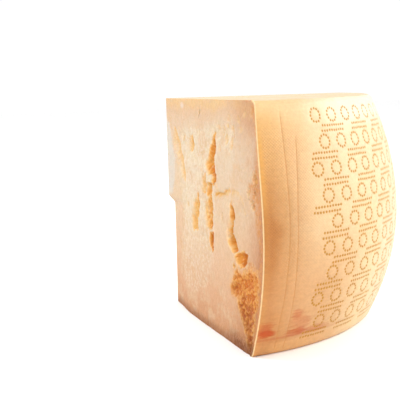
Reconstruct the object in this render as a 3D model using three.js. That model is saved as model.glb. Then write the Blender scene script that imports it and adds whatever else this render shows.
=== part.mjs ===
// A quarter of a wheel of hard, grainy cheese, standing on the wheel's flat lower face.
// The two cut faces were split open rather than sliced, so they carry hollows, steps and flakes;
// the outside is a barrel-shaped rind between two flat faces with softly rounded rims.
//
// Millimetres, +Z up. The origin is under the middle of the quarter's bounding box. The wheel's
// axis is the vertical edge at low X and high Y: the front cut runs from it towards -Y and faces
// -X, the back cut runs towards +X and faces +Y, and the rind is the quarter turn between them.
import * as THREE from "three";

// ---- driving dimensions ----
const WHEEL_HEIGHT = 200;
const WHEEL_RADIUS = 217.5; // where the barrel is widest
const BELLY_HEIGHT = 94; // height of that widest ring: the wheel has settled a little
const BARREL_INSET = 24.5; // how much less the radius is at the two flat faces
const TOP_RIM = { inward: 8, height: 4 }; // rounding between the rind and the upper face
const FOOT_RIM = { inward: 1.5, height: 1.5 }; // the crisper edge that the wheel stands on
const EDGE_HOLD = 7; // relief fades out this close to the rind, which breaks cleanly
const FACE_HOLD = 5; // and this close to the flat faces, down to a share of itself
const TOP_SHARE = 0.2;
const FOOT_SHARE = 0.7;

// ---- mesh steps ----
const FRONT_STEPS = 56; // along the front cut, from the axis to the rind
const BACK_STEPS = 28;
const RIND_STEPS = 24; // round the quarter turn
const LEVEL_STEPS = 46; // between the rims
const FOOT_LEVELS = [0, 0.35]; // extra levels inside each rim, as shares of its height
const TOP_LEVELS = [0.6, 0.25, 0.06, 0];

const CENTRE_X = -WHEEL_RADIUS / 2; // the wheel's axis, seen from the part's origin
const CENTRE_Y = WHEEL_RADIUS / 2;

// ---- crags of the front cut ----
// u is the distance from the wheel's axis along the cut, z is the height. A hollow is a lens
// with a steep side towards the rind and a long slope on the side towards the axis.
const FRONT_HOLLOWS = [
  { u: 114, z: 156, halfWidth: 11, halfHeight: 19, depth: 7, lean: -0.12 },
  { u: 112, z: 124, halfWidth: 8, halfHeight: 10, depth: 5, lean: 0 },
  { u: 111, z: 101, halfWidth: 9, halfHeight: 17, depth: 6.5, lean: 0.03 },
  { u: 109, z: 76, halfWidth: 8, halfHeight: 13, depth: 5, lean: 0.1 },
  { u: 77, z: 98, halfWidth: 6, halfHeight: 18, depth: 3.2, lean: 0 },
  { u: 66, z: 161, halfWidth: 5, halfHeight: 9, depth: 2.4, lean: 0.3 },
  { u: 24, z: 148, halfWidth: 5, halfHeight: 14, depth: 2, lean: -0.15 },
  { u: 92, z: 190, halfWidth: 3, halfHeight: 7, depth: 1.6, lean: 0.5 },
  { u: 137, z: 168, halfWidth: 6, halfHeight: 7, depth: 2.2, lean: 0.2 },
  { u: 145, z: 162, halfWidth: 4, halfHeight: 9, depth: 2.4, lean: -0.1 },
  { u: 159, z: 160, halfWidth: 4, halfHeight: 9, depth: 2, lean: -0.15 },
  { u: 152, z: 175, halfWidth: 5, halfHeight: 6, depth: 2, lean: 0.2 },
  { u: 168, z: 173, halfWidth: 5, halfHeight: 7, depth: 2, lean: 0.2 },
  { u: 186, z: 178, halfWidth: 6, halfHeight: 8, depth: 2, lean: 0.3 },
  { u: 177, z: 74, halfWidth: 10, halfHeight: 7, depth: 5, lean: 0.6 },
];
// The lower slab stands proud: this outline holds what lies deeper beside and above it.
const SLAB_SIDE = [
  [122, 166], [122, 118], [146, 116], [152, 113], [159, 110], [151, 96],
  [150, 90], [159, 81], [168, 74], [165, 62], [155, 46], [157, 42],
  [170, 37], [176, 26], [177, 12], [183, -6], [240, -6], [240, 166],
];
const STEP_DEPTH = 4.8;
const STEP_TOP = 162; // the step runs out at this height
const STEP_FULL = 88; // and is at its deepest from here down
const STEP_RISE = 40; // it rises back to the cut plane over this length before the rind
// The crumbled cavity beside the rind, below the slab's corner.
const CAVITY = [
  [177, 69], [193, 71], [209, 73], [213, 55], [209, 30], [200, -6],
  [183, -6], [177, 12], [176, 26], [170, 37], [157, 42], [155, 46], [165, 62],
];
const CAVITY_DEPTH = 4.5;
const CAVITY_ROUGHNESS = 4;
// The flaky field between the smooth band under the top face and the chain of hollows.
const FLAKY_FIELD = [
  [15, 172], [34, 164], [62, 174], [100, 178], [120, 174], [124, 165], [121, 118],
  [118, 84], [110, 56], [60, 36], [18, 60], [26, 108], [24, 142],
];
const FLAKY_DEPTH = 1.3;
const FLAKE_HEIGHT = 1.8;
// The chip off the axis edge, below the ledge.
const CHIP_DEPTH = 4.6;
const CHIP_LEDGE = 103;
const CHIP_LEDGE_HALF = 4;
const CHIP_REACH = 58;

// ---- crags of the back cut ----
const BACK_HOLLOWS = [
  { u: 148, z: 132, halfWidth: 12, halfHeight: 24, depth: 6, lean: 0.15 },
  { u: 132, z: 84, halfWidth: 9, halfHeight: 16, depth: 4.5, lean: -0.1 },
  { u: 84, z: 150, halfWidth: 9, halfHeight: 14, depth: 4, lean: 0.2 },
  { u: 62, z: 58, halfWidth: 12, halfHeight: 18, depth: 4.5, lean: -0.2 },
  { u: 182, z: 62, halfWidth: 11, halfHeight: 20, depth: 5, lean: 0.1 },
  { u: 108, z: 30, halfWidth: 10, halfHeight: 12, depth: 3.5, lean: 0.3 },
];
const BACK_SLAB_SIDE = [
  [40, 206], [46, 150], [58, 128], [54, 112], [88, 96], [112, 104], [128, 88],
  [156, 74], [170, 84], [240, 62], [240, 206],
];
const BACK_STEP_DEPTH = 3.6;

const clamp01 = (x) => Math.min(1, Math.max(0, x));
const smooth = (x) => clamp01(x) ** 2 * (3 - 2 * clamp01(x));

// ---- noise: values at whole numbers, blended between ----
function hash(i, j, seed) {
  let h = Math.imul(i, 374761393) + Math.imul(j, 668265263) + Math.imul(seed, 974634777);
  h = Math.imul(h ^ (h >>> 13), 1274126177);
  return ((h ^ (h >>> 16)) >>> 0) / 4294967296;
}

function noise(x, y, seed) {
  const i = Math.floor(x);
  const j = Math.floor(y);
  const a = smooth(x - i);
  const b = smooth(y - j);
  const low = hash(i, j, seed) * (1 - a) + hash(i + 1, j, seed) * a;
  const high = hash(i, j + 1, seed) * (1 - a) + hash(i + 1, j + 1, seed) * a;
  return low * (1 - b) + high * b;
}

// ---- the rind's profile ----
const rimInset = ({ inward, height }, fromFace) =>
  inward * (1 - Math.sqrt(1 - clamp01(1 - fromFace / height) ** 2));

function rindRadius(z) {
  const span = z > BELLY_HEIGHT ? WHEEL_HEIGHT - BELLY_HEIGHT : BELLY_HEIGHT;
  const barrel = WHEEL_RADIUS - BARREL_INSET * ((z - BELLY_HEIGHT) / span) ** 2;
  return barrel - rimInset(FOOT_RIM, z) - rimInset(TOP_RIM, WHEEL_HEIGHT - z);
}

// ---- relief of the cut faces: how far the surface lies inside the cut plane ----
// How far a point is inside an outline; negative outside.
function insideBy(outline, u, z) {
  let nearest = Infinity;
  let inside = false;
  outline.forEach(([au, az], k) => {
    const [bu, bz] = outline[(k + 1) % outline.length];
    const along = clamp01(
      ((u - au) * (bu - au) + (z - az) * (bz - az)) / ((bu - au) ** 2 + (bz - az) ** 2),
    );
    nearest = Math.min(nearest, Math.hypot(u - au - along * (bu - au), z - az - along * (bz - az)));
    if (az > z !== bz > z && u < au + ((z - az) / (bz - az)) * (bu - au)) inside = !inside;
  });
  return inside ? nearest : -nearest;
}

function hollowDepth({ u: u0, z: z0, halfWidth, halfHeight, depth, lean }, u, z) {
  const up = (z - z0) / halfHeight;
  if (Math.abs(up) >= 1) return 0;
  const span = Math.sqrt(1 - up * up);
  const across = (u - u0 - lean * (z - z0)) / (halfWidth * span);
  if (Math.abs(across) >= 1) return 0;
  return depth * span * smooth(Math.min((across + 1) / 1.5, (1 - across) / 0.5));
}

const hollowsDepth = (hollows, u, z) => Math.max(...hollows.map((h) => hollowDepth(h, u, z)));

// The relief dies away at the rind and at the flat faces.
function hold(u, z) {
  const atRind = smooth((rindRadius(z) - u) / EDGE_HOLD);
  const atTop = TOP_SHARE + (1 - TOP_SHARE) * smooth((WHEEL_HEIGHT - z) / FACE_HOLD);
  const atFoot = FOOT_SHARE + (1 - FOOT_SHARE) * smooth(z / FACE_HOLD);
  return atRind * atTop * atFoot;
}

function chipDepth(u, z) {
  const belowLedge = smooth((CHIP_LEDGE + CHIP_LEDGE_HALF - z) / (2 * CHIP_LEDGE_HALF));
  return CHIP_DEPTH * belowLedge * smooth((CHIP_REACH - u) / CHIP_REACH);
}

function frontRelief(u, z) {
  const swell = 1.4 * noise(u / 46, z / 64, 1) * smooth(u / 30);
  const stepFade =
    smooth((STEP_TOP - z) / (STEP_TOP - STEP_FULL)) * smooth((rindRadius(z) - u) / STEP_RISE);
  const step = STEP_DEPTH * stepFade * smooth(0.5 + insideBy(SLAB_SIDE, u, z) / 3);
  const inCavity = smooth(insideBy(CAVITY, u, z) / 4);
  const rubble = noise(u / 9, z / 8, 2) + 0.5 * noise(u / 4.5, z / 4, 3);
  const cavity = inCavity * (CAVITY_DEPTH + CAVITY_ROUGHNESS * (rubble - 0.75));
  const inField = smooth(insideBy(FLAKY_FIELD, u, z) / 6);
  const flakes = noise((u + 0.2 * z) / 8, z / 24, 4) - 0.5;
  const field = inField * (FLAKY_DEPTH + FLAKE_HEIGHT * flakes);
  const depth = swell + step + cavity + field + hollowsDepth(FRONT_HOLLOWS, u, z);
  return Math.max(0, depth) * hold(u, z) + chipDepth(u, z);
}

function backRelief(u, z) {
  const swell = 2 * noise(u / 40, z / 55, 5) * smooth(u / 30);
  const step =
    BACK_STEP_DEPTH *
    smooth(0.5 + insideBy(BACK_SLAB_SIDE, u, z) / 5) *
    smooth((rindRadius(z) - u) / STEP_RISE);
  const flakes = 1.6 * (noise((u - 0.15 * z) / 12, z / 26, 6) - 0.5);
  const depth = swell + step + flakes + hollowsDepth(BACK_HOLLOWS, u, z);
  return Math.max(0, depth) * hold(u, z) + chipDepth(u, z);
}

// ---- the solid: one closed ring of points for each level, joined up and capped ----
function levelHeights() {
  const first = FOOT_RIM.height;
  const step = (WHEEL_HEIGHT - TOP_RIM.height - first) / LEVEL_STEPS;
  const between = Array.from({ length: LEVEL_STEPS + 1 }, (_, k) => first + k * step);
  const foot = FOOT_LEVELS.map((share) => share * FOOT_RIM.height);
  const top = TOP_LEVELS.map((share) => WHEEL_HEIGHT - share * TOP_RIM.height);
  return [...foot, ...between, ...top];
}

// From the axis edge out along the front cut, round the rind, and back along the back cut.
function ringAt(z) {
  const radius = rindRadius(z);
  const axisFront = frontRelief(0, z);
  const axisBack = backRelief(0, z);
  const ring = [];
  for (let k = 0; k < FRONT_STEPS; k++) {
    const u = axisBack + (k / FRONT_STEPS) * (radius - axisBack);
    ring.push([frontRelief(k ? u : 0, z), -u]);
  }
  for (let k = 0; k < RIND_STEPS; k++) {
    const turn = (-Math.PI / 2) * (1 - k / RIND_STEPS);
    ring.push([radius * Math.cos(turn), radius * Math.sin(turn)]);
  }
  for (let k = 0; k < BACK_STEPS; k++) {
    const u = radius - (k / BACK_STEPS) * (radius - axisFront);
    ring.push([u, -backRelief(u, z)]);
  }
  return ring.map(([x, y]) => new THREE.Vector3(CENTRE_X + x, CENTRE_Y + y, z));
}

function capCentre(ring) {
  const sum = ring.reduce((total, point) => total.add(point), new THREE.Vector3());
  return sum.divideScalar(ring.length);
}

function cheeseGeometry() {
  const rings = levelHeights().map(ringAt);
  const count = rings[0].length;
  const points = rings.flat();
  const faces = [];
  for (let level = 0; level + 1 < rings.length; level++) {
    for (let k = 0; k < count; k++) {
      const a = level * count + k;
      const b = level * count + ((k + 1) % count);
      faces.push(a, b, b + count, a, b + count, a + count);
    }
  }
  const top = (rings.length - 1) * count;
  const underCentre = points.push(capCentre(rings[0])) - 1;
  const overCentre = points.push(capCentre(rings.at(-1))) - 1;
  for (let k = 0; k < count; k++) {
    const next = (k + 1) % count;
    faces.push(underCentre, next, k, overCentre, top + k, top + next);
  }
  const geometry = new THREE.BufferGeometry().setFromPoints(points);
  geometry.setIndex(faces);
  geometry.computeVertexNormals();
  return geometry;
}

const paste = new THREE.MeshStandardMaterial({ color: 0xf0d2a8, roughness: 0.75, metalness: 0 });
const cheese = new THREE.Mesh(cheeseGeometry(), paste);
cheese.name = "cheese_quarter";

const part = new THREE.Group();
part.add(cheese);

export default part;
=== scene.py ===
"""A quarter of a wheel of hard, grainy cheese: its two split cut faces and its golden rind.

One closed mesh takes the place of the plain solid. It is made of five patches that share their
border points: the two cut faces, the rind, and the two flat faces. Sizes are worked in millimetres
from the wheel's axis and turned into the frame's metres at the end. On a cut face, u is the
distance from the wheel's axis and z the height. On the rind, a is the way round it from the
front cut, measured at the widest ring, and z the height.
"""
import math

import bpy
import numpy as np
from mathutils import Matrix, Vector
from mathutils.geometry import delaunay_2d_cdt


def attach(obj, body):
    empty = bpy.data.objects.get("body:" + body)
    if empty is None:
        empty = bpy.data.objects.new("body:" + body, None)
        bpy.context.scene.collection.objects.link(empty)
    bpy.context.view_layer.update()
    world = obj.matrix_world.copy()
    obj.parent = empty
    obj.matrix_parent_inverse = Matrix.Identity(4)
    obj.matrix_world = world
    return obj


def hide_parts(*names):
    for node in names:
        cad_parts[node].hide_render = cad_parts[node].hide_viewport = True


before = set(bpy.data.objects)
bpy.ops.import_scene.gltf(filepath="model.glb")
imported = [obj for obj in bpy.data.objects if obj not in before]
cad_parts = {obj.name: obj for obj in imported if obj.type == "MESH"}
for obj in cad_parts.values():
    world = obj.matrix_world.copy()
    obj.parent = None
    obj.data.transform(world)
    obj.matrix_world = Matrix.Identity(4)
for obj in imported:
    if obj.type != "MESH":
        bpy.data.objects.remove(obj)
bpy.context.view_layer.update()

MM = 0.001
rng = np.random.default_rng(7)

# ---- the wheel, with the same driving dimensions as the solid ----
WHEEL_HEIGHT = 200.0
WHEEL_RADIUS = 217.5
BELLY_HEIGHT = 94.0
BARREL_INSET = 24.5
TOP_RIM_INWARD, TOP_RIM_HEIGHT = 4.3, 4.0
FOOT_RIM_INWARD, FOOT_RIM_HEIGHT = 1.5, 1.5
LIP_WIDTH, LIP_DEPTH = 1.4, 0.45  # the worn corner between the cuts and the rind
CORNER_SET_BACK = 5.5  # the front cut runs off backwards towards its upper corner at the rind
SET_BACK_FROM = 130.0
EDGE_HOLD, FACE_HOLD = 7.0, 5.0  # the relief fades this near the rind and the flat faces
TOP_SHARE, FOOT_SHARE = 0.2, 0.7  # how much of it is left at the flat faces
AXIS = np.array([-WHEEL_RADIUS / 2, WHEEL_RADIUS / 2])  # the wheel's axis in the frame
QUARTER_ARC = WHEEL_RADIUS * math.pi / 2

# ---- how closely each patch is meshed ----
BORDER_STEP = 1.0
FRONT_STEPS = (1.5, 0.95, 0.68)  # smooth, flaky and crumbled areas
BACK_STEPS = (3.2, 1.7, 1.0)
RIND_STEP = 3.4
RIM_STEP, RIM_BAND = 1.8, 14.0  # finer along the rounded upper rim
FLAT_STEP = 6.0
SHARP_ANGLE = math.radians(44)
POINT_GAP = 1.3  # none of the rind's other points is so near a prick's, a seam's or a corner's

# ---- the front cut's broken places: outlines in (u, z) ----
# Each mouth is a hollow's outline, its depth, how far the wall on the axis side takes to fall, and
# how strong the painted gold shade in the hollow is. The wall opposite is steep.
FRONT_MOUTHS = [
    ([(118, 175), (112, 167), (105, 159), (99, 150), (97, 142), (104, 136), (114, 134),
      (118.5, 137), (120, 144), (118.5, 151), (123, 159), (122, 168)], 5.6, 8.0, 1.5),
    ([(118, 141), (110, 136), (109, 129), (116, 127), (120.5, 131), (122, 138)], 3.4, 4.0, 0.7),
    ([(112, 129), (104, 131), (97, 127), (96, 118), (103, 114), (110, 117), (112.5, 124)],
     4.6, 6.0, 0.9),
    ([(98, 139), (90, 136), (85, 128), (86, 119), (93, 115), (98, 121), (100, 131)], 2.2, 7.0, 0.5),
    ([(112, 119), (103, 118), (95, 111), (93, 101), (94, 90), (101, 86), (110, 88), (112.5, 99),
      (115, 108), (114.5, 115)], 5.8, 8.0, 1.1),
    ([(113, 87), (104, 86), (100, 80), (103, 72), (110, 67), (115, 74), (114, 82)], 4.4, 5.0, 1.8),
    ([(81, 118), (72, 115), (62, 104), (57, 92), (60, 82), (68, 79), (76, 84), (80, 96),
      (82, 107)], 2.8, 9.0, 0.6),
    ([(70, 171), (60, 169), (54, 162), (56, 153), (64, 151), (69, 159)], 2.6, 7.0, 0.5),
    ([(152, 119), (152, 114), (153.5, 109), (152.5, 104), (149, 99), (145, 95), (144, 90), (147, 85),
      (151, 81), (156, 77), (162, 78.5), (161, 82), (157, 87), (153, 91), (153, 96),
      (155, 101), (158, 106), (158.5, 112), (155, 117)], 4.2, 3.2, 0.85),
    ([(164, 81), (173, 82), (180, 80), (181, 75), (177, 68), (168, 65), (160, 69), (157, 76)],
     5.2, 10.0, 1.5),
    ([(158, 72), (156, 66), (158, 62), (161, 66)], 2.0, 1.0, 0.4),
    ([(22, 176), (14, 170), (16, 158), (21, 149), (26, 141), (31, 133), (37, 124), (44, 122),
      (45, 134), (38, 150), (31, 164)], 1.5, 9.0, 0.3),
]
# Ledges: the edge below which a stretch lies back, its depth and its height.
FRONT_LEDGES = [
    ([(117, 124), (127, 125), (134, 125.5), (142, 127), (149, 131.5), (152, 131)], 2.2, 9.0),
    ([(151, 122), (155, 128), (162, 130.5), (169, 129.5), (175, 125), (179, 117)], 1.2, 12.0),
    ([(177, 124), (184, 125), (193, 124), (203, 127)], 1.2, 4.0),
]
# Small pits: u, z, half width, half height, depth, lean of the top towards the rind.
FRONT_PITS = [
    (88, 189, 1.7, 6.0, 1.8, 0.45), (132, 176, 5.0, 4.6, 1.0, 0.3), (140, 175, 4.0, 5.6, 0.9, 0.5),
    (145, 168, 3.2, 8.0, 1.6, -0.15), (149, 178, 3.2, 3.6, 1.4, 0.0), (134, 161, 3.2, 4.6, 1.2, -0.2),
    (158, 166, 3.0, 8.5, 1.7, -0.12), (152, 185, 4.0, 5.0, 1.0, 0.2), (161, 175, 3.4, 5.5, 1.3, -0.2),
    (169, 184, 3.0, 5.0, 1.2, -0.2), (175, 177, 3.0, 5.0, 1.1, 0.0), (181, 188, 4.0, 4.0, 0.9, 0.3),
    (190, 190, 3.4, 6.0, 1.1, 0.3), (197, 187, 2.6, 9.0, 1.1, 0.1), (202, 141, 3.0, 7.0, 2.6, 0.1),
    (200, 131, 3.0, 4.0, 2.8, 0.0), (199, 119, 4.4, 4.0, 2.8, 0.2), (189, 128, 2.4, 7.0, 1.6, 0.0),
    (194, 123, 4.0, 3.0, 1.6, 0.5), (206, 133, 2.2, 14.0, 1.4, 0.0), (136, 104, 2.0, 6.0, 1.4, 0.2),
    (52, 103, 3.0, 4.0, 1.4, 0.2), (178, 113, 2.0, 5.0, 1.2, -0.5), (26, 168, 3.0, 5.0, 1.2, 0.3),
    (45, 165, 2.6, 6.0, 1.2, 0.2),
]
SLAB_LOWER_EDGE = [
    (159, 62), (154.5, 55), (151, 48), (153, 43.5), (164, 41.5), (167, 35), (169, 30.5), (172.5, 24),
    (177, 19.5), (180, 15), (182, 9.5), (184, -6),
]
# The lower slab stands proud: this outline holds what lies deeper beside and above it.
SLAB_SIDE = [
    (121, 168), (120, 118), (130, 116), (144, 117), (152, 114), (153, 108.5), (151.5, 104),
    (148, 99), (145, 96), (144.5, 91), (147, 86.5), (150, 82.5), (154, 78.5), (163, 77), (163, 68),
    *SLAB_LOWER_EDGE, (240, -6), (240, 168),
]
STEP_DEPTH = 3.2
STEP_TOP, STEP_FULL = 162.0, 88.0  # between these heights the step down from the slab fades in
STEP_RISE = 40.0  # and it fades out over this width beside the rind
CAVITY = [
    (163, 66), (172, 63), (183, 67), (195, 69.5), (204, 70), (207, 65), (206, 55), (204, 47),
    (202, 40), (199, 31), (196, 20), (193, 8), (191, -6), *SLAB_LOWER_EDGE[::-1],
]
CAVITY_DEPTH = 2.0
PALE_CRUMBS = [(176, 68), (182, 75), (190, 78), (199, 76), (203, 71), (195, 69), (184, 66), (177, 63)]
FLAKY_FIELD = [
    (14, 174), (27, 171), (40, 175), (62, 180), (84, 178), (104, 180), (128, 184), (158, 182),
    (166, 172), (160, 158), (132, 156), (123, 146), (122, 118), (118, 84), (112, 52), (92, 28),
    (56, 16), (28, 30), (20, 62), (30, 92), (34, 112), (30, 128), (23, 144), (18, 158),
]
FLAKY_DEPTH, FLAKE_HEIGHT = 1.2, 1.35
# a smooth facet by the axis, given painted cool light
COOL_LIT_FACET = [(-9, 190), (9, 178), (15, 166), (18, 154), (23, 143), (20, 124), (14, 108), (-9, 100)]
RIND_STRIP = [
    (184, 196), (193, 186), (201, 165), (200, 148), (193, 142), (187, 134), (190, 122), (197, 114),
    (202, 98), (207, 84), (206, 66), (203, 45), (198, 28), (192, 8), (190, -6), (200, -6), (207, 20),
    (212, 45), (218, 84), (218, 120), (210, 165), (203, 184), (198, 199),
]
# The strip along the wheel's axis is broken back below a ledge.
CHIP_DEPTH, CHIP_REACH = 4.6, 58.0
CHIP_LEDGE, CHIP_LEDGE_HALF = 103.0, 4.0
PALE_SPOT = (44, 194.0, 6.0, 3.6)  # a chalky grain under the top edge: u, z, half sizes

# ---- grain and crumbs ----
WOBBLE_U, WOBBLE_Z = 5.0, 4.0  # how far the outlines of hollows wander
RAGGED = 2.6  # how far the edges of rough areas wander
GRAIN_HEIGHT = 0.5
BIG_CRUMB, BIG_HEIGHT = 4.2, 1.4
SMALL_CRUMB, SMALL_HEIGHT = 2.1, 0.9
HEAP_HEIGHT = 3.4
LIE_REACH = 1.3  # how far apart places are compared to find what is proud or sunk

# ---- the back cut's broken places ----
# Each crevice follows a spine; then its half width, its depth and how far its wall takes to fall.
BACK_CREVICES = [
    ([(138, 66), (144, 92), (140, 112), (147, 134), (143, 152), (152, 182)], 9.0, 5.6, 9.0),
    ([(70, 52), (67, 82), (78, 104), (74, 126)], 8.0, 4.6, 10.0),
    ([(98, 120), (94, 142), (101, 170)], 5.5, 3.0, 8.0),
    ([(186, 10), (181, 36), (187, 58), (183, 74)], 7.0, 5.0, 7.0),
    ([(112, 14), (106, 38), (111, 64)], 6.0, 3.6, 8.0),
    ([(30, 122), (27, 150), (35, 180)], 4.0, 2.2, 8.0),
]
BACK_LEDGES = [
    ([(150, 118), (158, 121), (167, 119), (176, 124), (184, 123)], 2.2, 10.0),
    ([(78, 128), (84, 131), (91, 129)], 1.6, 6.0),
]
BACK_CAVITY = [
    (200, 152), (208, 140), (213, 120), (212, 96), (206, 80), (198, 76), (190, 88), (185, 104),
    (188, 120), (192, 136),
]
BACK_CAVITY_DEPTH = 1.4
BACK_SLAB_SIDE = [
    (30, 206), (38, 168), (48, 140), (46, 118), (62, 104), (84, 112), (104, 92), (124, 98), (140, 78),
    (160, 70), (176, 86), (240, 70), (240, 206),
]
BACK_STEP_DEPTH = 2.2

# ---- the rind's marks, in (a, z) ----
SEAMS = [  # the two edges that the mould's band left, near the front cut
    [(20.7, 3), (19.2, 30), (21.7, 77), (23.5, 115), (24.1, 150), (23.6, 196)],
    [(29.8, 2), (29.0, 45), (29.5, 85), (31.5, 125), (34.0, 150), (37.0, 178)],
]
SEAM_DEPTH, SEAM_HALF = 0.45, 0.9
FOOT_LINE = 14.5  # height of the mark of the mould's lower edge
PRICK_START, PRICK_END = 47.0, QUARTER_ARC - 12.0  # where the pricked pattern begins and ends
PRICK_RADIUS, PRICK_DEPTH = 1.5, 0.75
PRICK_STEP = 3.1  # between neighbouring pricks
RING_RADIUS, RING_PITCH = 5.8, 21.5
BAR_LENGTH, BAR_PITCH = 30.0, 44.0
ROWS, FIRST_ROW, ROW_PITCH = 9, 12.5, 20.5
ROW_OFFSETS = (0.0, 13.0, 4.0, 20.0, 8.0)
PRICK_RIM_TINT = 0.17  # how much of a prick's colour reaches its rim
WEAVE_PITCH_A, WEAVE_PITCH_Z = 1.35, 1.2  # the mould's net, from a dimple to the next row's


# ---- noise: values at whole numbers, blended between, as in the solid ----
def clamp(x):
    return np.clip(x, 0.0, 1.0)


def smooth(x):
    x = clamp(x)
    return x * x * (3 - 2 * x)


def lattice(i, j, seed):
    h = (i * 374761393 + j * 668265263 + seed * 974634777) & 0xFFFFFFFF
    h = ((h ^ (h >> 13)) * 1274126177) & 0xFFFFFFFF
    return (h ^ (h >> 16)) / 4294967296.0


def noise(x, y, seed):
    i, j = np.floor(x).astype(np.int64), np.floor(y).astype(np.int64)
    a, b = smooth(x - i), smooth(y - j)
    low = lattice(i, j, seed) * (1 - a) + lattice(i + 1, j, seed) * a
    high = lattice(i, j + 1, seed) * (1 - a) + lattice(i + 1, j + 1, seed) * a
    return low * (1 - b) + high * b


def fractal(x, y, seed, octaves=3):
    """Noise with finer noise on it, from about -0.5 to 0.5."""
    total, weight, reach = 0.0, 1.0, 0.0
    for k in range(octaves):
        total = total + weight * (noise(x * 2**k + 31.7 * k, y * 2**k + 17.3 * k, seed + k) - 0.5)
        reach += weight
        weight *= 0.55
    return total / reach * 1.3


# ---- outlines ----
def inside_by(outline, u, z):
    """How far points are inside an outline; negative outside."""
    nearest = np.full(np.shape(u), np.inf)
    inside = np.zeros(np.shape(u), bool)
    for (au, az), (bu, bz) in zip(outline, outline[1:] + outline[:1]):
        du, dz = bu - au, bz - az
        along = clamp(((u - au) * du + (z - az) * dz) / (du * du + dz * dz))
        nearest = np.minimum(nearest, np.hypot(u - au - along * du, z - az - along * dz))
        if az != bz:
            inside ^= ((az > z) != (bz > z)) & (u < au + (z - az) / (bz - az) * du)
    return np.where(inside, nearest, -nearest)


def in_lens(u, z, u0, z0, half_u, half_z, lean=0.0):
    """1 at the middle of a leaning oval, 0 at its edge and outside."""
    across = (u - u0 - lean * (z - z0)) / half_u
    return clamp(1 - np.hypot(across, (z - z0) / half_z))


# ---- the rind's profile ----
def rind_profile():
    """Heights and radii up the rind, closely spaced, with the way along them."""
    turn = np.linspace(math.pi / 2, 0, 12, endpoint=False)
    foot_z = FOOT_RIM_HEIGHT * (1 - np.sin(turn))
    foot_inset = FOOT_RIM_INWARD * (1 - np.cos(turn))
    barrel_z = np.linspace(FOOT_RIM_HEIGHT, WHEEL_HEIGHT - TOP_RIM_HEIGHT, 600)
    turn = np.linspace(0, math.pi / 2, 41)[1:]
    top_z = WHEEL_HEIGHT - TOP_RIM_HEIGHT * (1 - np.sin(turn))
    top_inset = TOP_RIM_INWARD * (1 - np.cos(turn))
    z = np.concatenate([foot_z, barrel_z, top_z])
    inset = np.concatenate([foot_inset, 0 * barrel_z, top_inset])
    span = np.where(z > BELLY_HEIGHT, WHEEL_HEIGHT - BELLY_HEIGHT, BELLY_HEIGHT)
    radius = WHEEL_RADIUS - BARREL_INSET * ((z - BELLY_HEIGHT) / span) ** 2 - inset
    way = np.concatenate([[0], np.cumsum(np.hypot(np.diff(z), np.diff(radius)))])
    return z, radius, way


PROFILE_Z, PROFILE_R, PROFILE_WAY = rind_profile()
PROFILE_LENGTH = PROFILE_WAY[-1]


def radius_at(z):
    return np.interp(z, PROFILE_Z, PROFILE_R)


def height_at(way):
    return np.interp(way, PROFILE_WAY, PROFILE_Z)


# ---- relief of the cut faces ----
def wobbled(u, z):
    """Places moved about a little, which makes the outlines of hollows uneven."""
    return u + WOBBLE_U * fractal(u / 5, z / 9, 40), z + WOBBLE_Z * fractal(u / 5, z / 9, 45)


def sides(outline, count=24):
    """Heights up an outline, and its two edges at each."""
    points = np.array(outline)
    heights = np.linspace(points[:, 1].min() + 0.4, points[:, 1].max() - 0.4, count)
    near, far = np.full(count, np.inf), np.full(count, -np.inf)
    for (au, az), (bu, bz) in zip(outline, outline[1:] + outline[:1]):
        if az != bz:
            share = (heights - az) / (bz - az)
            crossed = (share >= 0) & (share <= 1)
            edge = au + share * (bu - au)
            near = np.where(crossed, np.minimum(near, edge), near)
            far = np.where(crossed, np.maximum(far, edge), far)
    return heights, near, far


def mouths_depth(mouths, u, z):
    """Depth of the hollows, and how much painted gold shade they get: more so towards their steep
    rind side.
    """
    depth, golden_shade = np.zeros(np.shape(u)), np.zeros(np.shape(u))
    for outline, deepest, fall, shade_tint in mouths:
        inside = inside_by(outline, u, z)
        heights, near, far = sides(outline)
        near, far = (np.interp(z, heights, edge) for edge in (near, far))
        across = clamp((u - near) / np.maximum(far - near, 1.0))
        wall = 1.5 + (fall - 1.5) * smooth(1.6 - 2 * across)
        depth = np.maximum(depth, deepest * smooth(inside / wall))
        first = max(0.16, 0.85 - 0.11 * fall)  # a steep wall gets its painted shade from its top
        shaded_share = shade_tint * (first + (1 - first) * smooth(1.2 * across))
        golden_shade = np.maximum(golden_shade, shaded_share * smooth((inside + 0.8) / (1.4 + 0.32 * fall)))
    return depth, clamp(golden_shade)


def crevice(spine, half_width, seed):
    """The outline of a crevice that is wide and narrow by turns along its spine."""
    ways, heights = zip(*spine)
    z = np.arange(heights[0], heights[-1], 3.5)
    along = (z - heights[0]) / (heights[-1] - heights[0])
    taper = np.sin(math.pi * (0.05 + 0.9 * along))
    half = half_width * (0.25 + 1.3 * noise(z / 15, 0 * z, seed)) * taper
    middle = np.interp(z, heights, ways)
    edges = np.concatenate([middle + half, (middle - half)[::-1]])
    return list(zip(edges.tolist(), np.concatenate([z, z[::-1]]).tolist()))


def ledges_depth(ledges, u, z):
    depth = np.zeros(np.shape(u))
    for edge, deepest, tall in ledges:
        ways, heights = zip(*edge)
        under = np.interp(u, ways, heights) - z
        ends = smooth((u - ways[0]) / 4) * smooth((ways[-1] - u) / 4)
        depth = np.maximum(depth, deepest * smooth(under / 2.4) * smooth(1 - under / tall) * ends)
    return depth


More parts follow.
